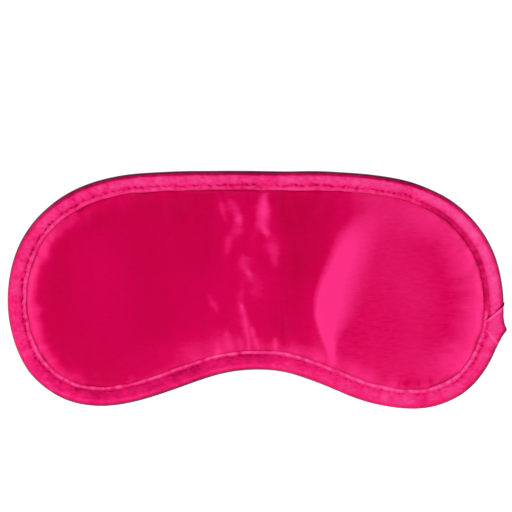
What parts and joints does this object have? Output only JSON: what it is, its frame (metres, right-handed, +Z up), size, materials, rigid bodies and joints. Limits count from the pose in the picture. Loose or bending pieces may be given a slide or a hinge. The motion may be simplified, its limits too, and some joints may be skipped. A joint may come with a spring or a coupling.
{
  "type": "sleep eye mask",
  "caption": "Padded satin sleep mask with two rounded lobes, a nose arch, a stitched bound edge and an adjustable elastic strap behind.",
  "frame": {"origin": "on the flat middle of the back panel, the face that lies against the wearer, at the mask's middle", "axes": "+X along the mask to the right seen from the front, +Y out of the back panel towards the wearer's head, +Z up; the front faces -Y"},
  "size_m": [0.2001, 0.1061, 0.0951],
  "materials": {
    "satin": "satin",
    "padding": "matte",
    "blackout": "matte",
    "binding_tape": "satin",
    "thread": "satin",
    "elastic": "matte",
    "adjuster": "gloss"
  },
  "bodies": {
    "mask": {"front_panel": "satin", "padding": "padding", "blackout_layer": "blackout", "back_panel": "satin", "edge_binding": "binding_tape", "binding_join": "binding_tape", "front_stitching": "thread", "back_stitching_upper": "thread", "back_stitching_lower": "thread", "bar_tack_left": "thread", "bar_tack_right": "thread", "strap_end_left": "elastic", "strap_end_right": "elastic"},
    "strap_arms": {"strap_arm_left": "elastic", "strap_arm_right": "elastic"},
    "strap_rear": {"rear_strap_short": "elastic", "rear_strap_long": "elastic", "strap_return": "elastic", "ring": "adjuster", "ring_fold_tack": "thread"},
    "slider": {"slider": "adjuster", "slider_loop": "elastic", "slider_loop_tack": "thread"}
  },
  "joints": [
    {"name": "strap_swing", "type": "hinge", "parent": "mask", "child": "strap_arms", "pos_m": [0, 0.0128, -0.013], "axis": [1, 0, 0], "range_deg": [-70, 70], "stiffness_Nm_per_rad": 0.2, "deforming": ["strap_end_left", "strap_end_right"]},
    {"name": "strap_stretch", "type": "slide", "parent": "strap_arms", "child": "strap_rear", "axis": [0, 1, 0], "range_m": [0, 0.04], "stiffness_N_per_m": 100, "deforming": ["strap_arm_left", "strap_arm_right"]},
    {"name": "slider_slide", "type": "slide", "parent": "strap_rear", "child": "slider", "axis": [1, 0, 0], "range_m": [-0.016, 0.045], "deforming": ["strap_return"]}
  ]
}
